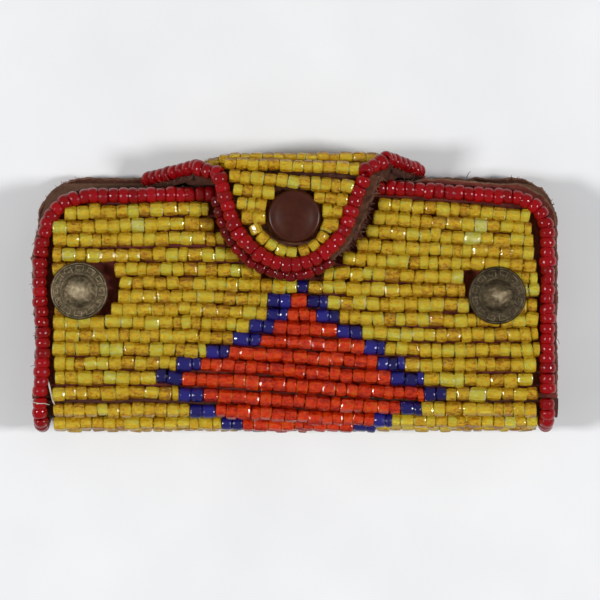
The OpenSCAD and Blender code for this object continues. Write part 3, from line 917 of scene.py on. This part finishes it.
def tab_point(side, angle, grow, low, high):
    half = TAB_HALF - EDGE_INSET - TAB_LEAN[side] + grow
    lean = TAB_LEAN[side] * (1 - math.cos(angle))
    y = low + (high - low) * (1 - math.cos(angle))
    return STRAP_MIDDLE + (-1, 1)[side] * (half * math.sin(angle) + lean - tab_waist(side, y)), y


def tab_outline(grow, low, high, steps=14):
    """The tab's edge from its upper left round its foot to its upper right."""
    left = [tab_point(0, math.pi / 2 * (1 - i / steps), grow, low, high) for i in range(steps + 1)]
    right = [tab_point(1, math.pi / 2 * i / steps, grow, low, high) for i in range(1, steps + 1)]
    return left + right


def tab_reach(side, y):
    """How far a row on the tab goes to one side, up to the edge strand."""
    strand = tab_side(side, y, TAB_HALF - EDGE_INSET - TAB_LEAN[side], TAB_LOW)
    return strand - tab_waist(side, y) - EDGE / 2 - 0.25


TAB_SLOPE = -0.09


def tab_beadwork():
    """Four rows, the lower ones parted by the snap cap, and below them a curve of beads round the cap."""
    random = np.random.default_rng(81)
    beads = Beads(82)
    level = TAB_FACE + ROW / 2
    clear = half_width("snap_cap") + 0.55
    for i in range(4):
        y = TURN[0] - 1.2 - 2.55 * i
        left = STRAP_MIDDLE - tab_reach(0, y)
        right = STRAP_MIDDLE + tab_reach(1, y)
        gap = math.sqrt(max(clear ** 2 - (y - SNAP[1]) ** 2, 0))
        parts = [(left, right)] if gap < 0.5 else [(left, SNAP[0] - gap), (SNAP[0] + gap, right)]
        for start, end in parts:
            row_of_beads(beads, random, start, end, y, level, TAB_SLOPE)
    curve = []
    for degrees in range(190, 352, 5):
        radius = 6.95 + 0.8 * smooth((232 - degrees) / 40)
        angle = math.radians(degrees)
        x, y = SNAP[0] - 0.2 + radius * math.cos(angle), SNAP[1] - 0.1 + radius * math.sin(angle)
        curve.append((x, y, level))
    for point, way in along_path(curve, 2.3, random):
        beads.add(point, way, 2.0, 2.4 * random.uniform(0.92, 1.02), wobble=0.07)
    beads.build("tab_beads", "tab", YELLOW, CUT_BEAD, "tab_rows", slot="yellow_beads", facets=True)


def tab_strands():
    """One strand on the tab's edge, carried on over the bend, and a lower one on its left and its foot,
    painted darker as shade beneath the tab's edge.
    """
    level = TAB_FACE + EDGE / 2
    upper = [(x, y, level) for x, y in tab_outline(0, TAB_LOW, TURN[0] - 0.1)]
    upper.insert(0, (upper[0][0] - 0.3, TURN[0] + 0.5, level - 0.15))
    upper.append((upper[-1][0] + 0.4, TURN[0] + 0.9, level - 0.3))
    edge_strand("tab_edge_beads", [upper], "tab", "tab_edging", seed=91, pitch=1.97, size=3.12)
    lower = [(x, y, TAB_FACE - 0.5) for x, y in tab_outline(1.55, TAB_LOW - 2.1, TURN[0] - 0.5, 24)
             if x < STRAP_MIDDLE + 9.0 and y < 19.5]
    # The lower strand's beads take the darkest tones: painted shade under the tab's edge.
    edge_strand("tab_lower_beads", [lower], "tab", seed=95, pitch=1.95, size=2.5, shades=(-0.3, 0.2))


tab_beadwork()
tab_strands()


# ---- leather

def panel(name, outline, top, thick, body, material, replaced, seed, slot, rough=0.16):
    """A flat piece of leather with a rough cut edge. The outline is closed, in order."""
    random = np.random.default_rng(seed)
    points = []
    for a, b in zip(outline, outline[1:] + outline[:1]):
        count = max(int(math.dist(a, b) / 0.6), 1)
        points += [(a[0] + (b[0] - a[0]) * i / count, a[1] + (b[1] - a[1]) * i / count) for i in range(count)]
    flat = np.array(points)
    ways = np.roll(flat, -1, 0) - np.roll(flat, 1, 0)
    outward = np.stack([ways[:, 1], -ways[:, 0]], 1)
    outward /= np.maximum(np.linalg.norm(outward, axis=1), 1e-9)[:, None]
    area = np.sum(flat[:, 0] * np.roll(flat[:, 1], -1) - np.roll(flat[:, 0], -1) * flat[:, 1])
    outward *= 1 if area > 0 else -1
    wander = random.normal(0, rough * 0.6, len(flat))
    wander = (wander + np.roll(wander, 1) + np.roll(wander, 2)) / 1.7
    rings = []
    for level, bulge in ((0, -0.25), (0.12, 0.0), (0.4, 0.12), (0.7, 0.08), (0.92, -0.02), (1.0, -0.22)):
        shift = wander + bulge + random.normal(0, rough * 0.5, len(flat))
        ring = flat + outward * shift[:, None]
        rings.append([(x, y, top - thick * (1 - level)) for x, y in ring])
    made = sheet(rings, name, body, material, replaced, slot=slot)
    polygons = made.data.polygons
    polygons.foreach_set("use_smooth", [False] * len(polygons))
    made.data.materials.append(CUT_EDGE)
    polygons.foreach_set("material_index", [0 if len(p.vertices) > 4 else 1 for p in polygons])


def front_lip():
    """The front's outline, where a little more leather shows along its upper right."""
    return [(x + 0.5 * smooth((x - 40) / 6), y + smooth((x - 20) / 8) * smooth((y - 6) / 10))
            for x, y in front_outline(0.25, FOLD_Y)[::-1]]


def back_outline():
    side, turn = BACK_RIGHT, RIGHT_CORNER
    upper_right = arc(side - turn, BACK_TOP - turn, turn, 0, 90)
    return [(-side, FOLD_Y), (side, FOLD_Y)] + upper_right + [(-x, y) for x, y in upper_right[::-1]]


def fold_sheet():
    """The leather round the fold."""
    profile = [*fold_curve(0.0)[0][::4], *fold_curve(-LEATHER)[0][::-4]]
    random = np.random.default_rng(207)
    rings = []
    for i in range(41):
        stray = random.normal(0, 0.05) if i in (0, 40) else 0
        x = BACK_LEFT + 0.2 + (BACK_RIGHT - BACK_LEFT - 0.4) * i / 40 + stray
        rings.append([(x, y - 0.08 * math.sin(i * 1.3), z) for y, z in profile])
    sheet(rings, "fold_panel", "fold", DARK_SUEDE, "fold_leather", slot="dark_leather")


TAB_RIGHT = [tab_point(1, math.pi / 2 * i / 14, 3.0, TAB_LOW - 1.5, TURN[0]) for i in range(15)]
TAB_LEFT = [tab_point(0, math.pi / 2 * i / 14, 0.9, TAB_LOW - 1.1, TURN[0]) for i in range(14, 0, -1)]
panel("front_panel", front_lip(), FRONT_FACE, FRONT_FACE - FRONT_INNER, "front", REDDISH,
      "front_leather", seed=201, slot="reddish_leather")
fold_sheet()
panel("back_panel", back_outline(), BACK_INNER, BACK_INNER - BACK_FACE, "back", DARK_SUEDE,
      "back_leather", seed=202, slot="dark_leather")
panel("tab_panel", TAB_LEFT + TAB_RIGHT, TAB_FACE, TAB_FACE - TAB_INNER, "tab", BROWN_SUEDE,
      "tab_leather", seed=203, rough=0.24, slot="dark_leather")


def fringe(random, pieces, path, count, length, lean):
    """Loose fibres along a cut edge, which mostly lean one way."""
    path = np.array(path, float)
    for _ in range(count):
        k = random.integers(0, len(path) - 1)
        root = path[k] + random.random() * (path[k + 1] - path[k])
        way = random.normal(0, 1, 3) + lean
        way /= np.linalg.norm(way)
        turn = random.normal(0, 0.7, 3)
        size = length * random.uniform(0.5, 1.5)
        points = [root + way * size * t + turn * size * t * t * 0.5 for t in (0, 0.35, 0.7, 1.0)]
        pieces.tube(points, [0.07, 0.06, 0.05, 0.03], 4)


def fibres():
    """Fibres along the leather's cut edges, and three long ones on the back's."""
    random = np.random.default_rng(301)
    made = Pieces()
    fringe(random, made, [(x, y, TAB_FACE - 0.3) for x, y in TAB_RIGHT], 220, 0.8, (0.8, -0.3, 0.6))
    low_edge = [(x, y, TAB_FACE + 0.2) for x, y in tab_outline(1.0, TAB_LOW - 1.1, TURN[0]) if y < 16]
    fringe(random, made, low_edge, 300, 0.8, (0, -0.3, 0.9))
    made.build("tab_fibres", "tab", FIBRE)
    made = Pieces()
    rim = [(x, y, FRONT_FACE - 0.2) for x, y in front_outline(0.2, FOLD_Y + 1)]
    fringe(random, made, rim, 260, 0.5, (0, 0, 0.4))
    made.build("front_fibres", "front", FIBRE)
    made = Pieces()
    rim = [(x, y, BACK_INNER - 0.2) for x, y in back_outline()[1:]]
    fringe(random, made, rim, 200, 0.35, (0, 0, 0.6))
    for x, y, dx, dy in ((33.5, 22.9, 0.8, 1.2), (51.3, 2.0, 0.3, -0.9), (51.3, -9.0, 0.6, -1.1)):
        points = [(x + dx * t, y + dy * t + 0.3 * math.sin(3 * t), BACK_INNER + 1.5 * t)
                  for t in (0, 0.25, 0.5, 0.75, 1)]
        made.tube(points, [0.07, 0.07, 0.06, 0.05, 0.03], 5)
    made.build("back_fibres", "back", FIBRE)
    for side, side_name in ((-1, "left"), (1, "right")):
        edge = [curl((STRAP_MIDDLE + side * (flare(half, side) - 0.9), y, z))
                for y, z, half, body in strap_profile(0.0) if body == "strap_spine"]
        made = Pieces()
        fringe(random, made, edge, 60, 0.7, (0, 0.2, 0.3))
        made.build(f"strap_fibres_{side_name}", "strap_spine", FIBRE)


def tab_stitches():
    """A running stitch round the tab's inside, level with its lining."""
    path = tab_outline(-0.7, TAB_LOW + 0.7, TURN[0] - 0.5)
    level = box("tab_lining")[0][2] - 0.05
    step = 1.9
    made = Pieces()
    for point, way in along_path([(x, y, level) for x, y in path], step, np.random.default_rng(29)):
        half = way * step * 0.33
        inner = [point + half * t + (0, 0, 0.1) for t in (-0.6, 0.6)]
        made.tube([point - half, *inner, point + half], [0.13, 0.17, 0.17, 0.13], 6)
    made.build("tab_stitches", "tab", PALE_THREAD)


def loose_thread():
    """Two ends of thread at the front's lower left, as (x, y, height above the leather)."""
    ends = [([(-48.9, -16.6, 1.2), (-48.5, -18.0, 2.2), (-48.2, -19.3, 2.3), (-47.8, -21.0, 1.9),
              (-47.3, -22.4, 0.8)], [0.12, 0.17, 0.17, 0.16, 0.12]),
            ([(-52.0, -21.0, 1.6), (-51.4, -21.3, 2.9), (-50.4, -21.5, 3.4), (-49.3, -21.5, 3.0),
              (-48.5, -21.8, 1.6)], 0.09)]
    made = Pieces()
    for points, radius in ends:
        made.tube([(x, y, FRONT_FACE + z) for x, y, z in points], radius, 6)
    made.build("loose_thread", "front", PALE_THREAD)


fibres()
tab_stitches()
loose_thread()


# ---- metal fittings on the outside

BEADS_TOP = FRONT_FACE + ROW + 0.12
# The edge of the concho's dome, which a stepped band goes round
DOME = 3.2


def concho_height(r):
    """The concho's face above its rim's underside."""
    return float(np.interp(r, [0, 0.9, 1.8, 2.6, 3.0, DOME, 3.4, 4.2, 5.0, 5.45, 5.65],
                           [1.95, 1.89, 1.69, 1.32, 1.06, 0.93, 0.98, 0.90, 0.70, 0.48, 0.25]))


def concho(name, shade, shift, spin):
    """A domed bronze button with a raised stepped band round its middle, on a stem through the front."""
    x, y, _ = CONCHOS[name]
    x += shift

    def on_face(radius, angle, rise):
        height = BEADS_TOP + concho_height(radius) + rise
        return x + radius * math.cos(angle), y + radius * math.sin(angle), height

    made = Pieces()
    radii = [5.65, 5.6, 5.45, 5.25, 5.0, 4.7, 4.2, 3.8, 3.4, 3.28,
             DOME, 3.1, 3.0, 2.8, 2.6, 2.2, 1.8, 1.4, 0.9, 0.45, 0]
    # The dome lightens towards its middle: partly wear on the raised dome, partly a painted highlight.
    tones = [shade + 0.12 + 0.4 * max(1 - r / DOME, 0) for r in radii]
    made.turned([(4.6, 0.05), (5.3, 0.0), (5.6, 0.08)] + [(r, concho_height(r)) for r in radii],
                (x, y, BEADS_TOP), 64, [0.1] * 3 + tones, 0.012)
    for radius, size in ((5.35, 0.13), (3.5, 0.10)):
        made.tube([on_face(radius, a, 0.02) for a in full_turn(56)], size, 6, shade + 0.28, closed=True)
    keys = 12
    width = 2 * math.pi / keys
    key = [(3.75, 0.06), (4.92, 0.06), (4.92, 0.66), (4.1, 0.66), (4.1, 0.34), (4.5, 0.34)]
    for k in range(keys):
        points = []
        for (r0, u0), (r1, u1) in zip(key, key[1:]):
            for t in (0, 0.5):
                points.append(on_face(r0 + (r1 - r0) * t, spin + width * (k + u0 + (u1 - u0) * t), 0.04))
        made.tube(points, 0.11, 5, shade + 0.38)
    stem = box(name)[0][2] - BEADS_TOP
    made.turned([(1.7, stem), (1.7, 0.3), (1.2, 0.35)], (x, y, BEADS_TOP), 24, 0.1)
    made.build(name + "_button", "front", BRONZE, name, slot="antique_brass")


def snap_button():
    low, high = [corner[2] for corner in box("snap_cap")]
    profile = [(0.5, 0.0), (3.9, 0.0), (4.7, 0.06), (5.06, 0.25), (5.22, 0.55), (5.2, 0.9), (5.02, 1.16),
               (4.78, 1.28), (4.55, 1.30), (4.38, 1.26), (4.2, 1.26), (3.4, 1.38), (2.4, 1.49), (1.2, 1.56),
               (0.0, 1.58)]
    cap = Pieces()
    cap.turned([(r, z * (high - low) / profile[-1][1]) for r, z in profile], (*SNAP[:2], low), 72)
    cap.build("snap_button", "tab", CAP, "snap_cap", slot="dark_enamel")


concho("left_concho", 0.0, -0.4, 0.3)
concho("right_concho", -0.14, 0.0, 1.1)
snap_button()


# ---- carried-over nodes

CARRIED = {
    LINING: ["back_lining", "fold_lining", "front_lining", "tab_lining"],
    BRASS: ["snap_stud", "snap_socket"] + [f"hook_rivet_{i}" for i in range(1, 7)],
    NICKEL: ["left_burr", "right_burr", "key_plate"] + [f"hook_{i}" for i in range(1, 7)],
    SPRING: [f"gate_{i}" for i in range(1, 7)],
}
for material, names in CARRIED.items():
    for name in names:
        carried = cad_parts[name]
        carried.data.materials.clear()
        carried.data.materials.append(material)
        if material != LINING:
            edge = carried.modifiers.new("edge", "BEVEL")
            edge.width = 0.12 * MM
            edge.segments = 2
            edge.limit_method = "ANGLE"


# ---- floor, light and camera

def floor():
    material, tree, shader = new_material("pale_floor", 0.9)
    colour_by(tree, shader, noise(tree, 30.0, 2.0), [(0.3, (0.70, 0.71, 0.72)), (0.7, (0.75, 0.76, 0.77))])
    side, level = 600, -0.02
    corners = [(-side, -side, level), (side, -side, level), (side, side, level), (-side, side, level)]
    make_object("floor", corners, [(0, 1, 2, 3)], material, False)


def softbox(name, place):
    """A small lamp that points at the middle of the case."""
    data = bpy.data.lights.new(name, "AREA")
    data.shape = "RECTANGLE"
    data.size, data.size_y = 0.12, 0.15
    data.energy = 3.5
    made = bpy.data.objects.new(name, data)
    made.location = place
    made.rotation_euler = (-made.location).to_track_quat("-Z", "Y").to_euler()
    bpy.context.collection.objects.link(made)


floor()
softbox("left_softbox", (-0.50, -0.05, 0.56))
softbox("right_softbox", (0.50, -0.05, 0.56))
world = bpy.data.worlds.new("studio")
world.use_nodes = True
background = world.node_tree.nodes["Background"]
background.inputs["Color"].default_value = (1, 1, 1, 1)
background.inputs["Strength"].default_value = 0.285
bpy.context.scene.world = world
bpy.context.scene.view_settings.view_transform = "Standard"

VIEW_WIDTH = 0.1176
DISTANCE = 0.70
camera_data = bpy.data.cameras.new("camera")
camera_data.lens = camera_data.sensor_width * DISTANCE / VIEW_WIDTH
camera_data.clip_start = 0.01
camera = bpy.data.objects.new("camera", camera_data)
camera.location = (0.0005, -0.0013, DISTANCE + FRONT_FACE * MM)
bpy.context.collection.objects.link(camera)
bpy.context.scene.camera = camera
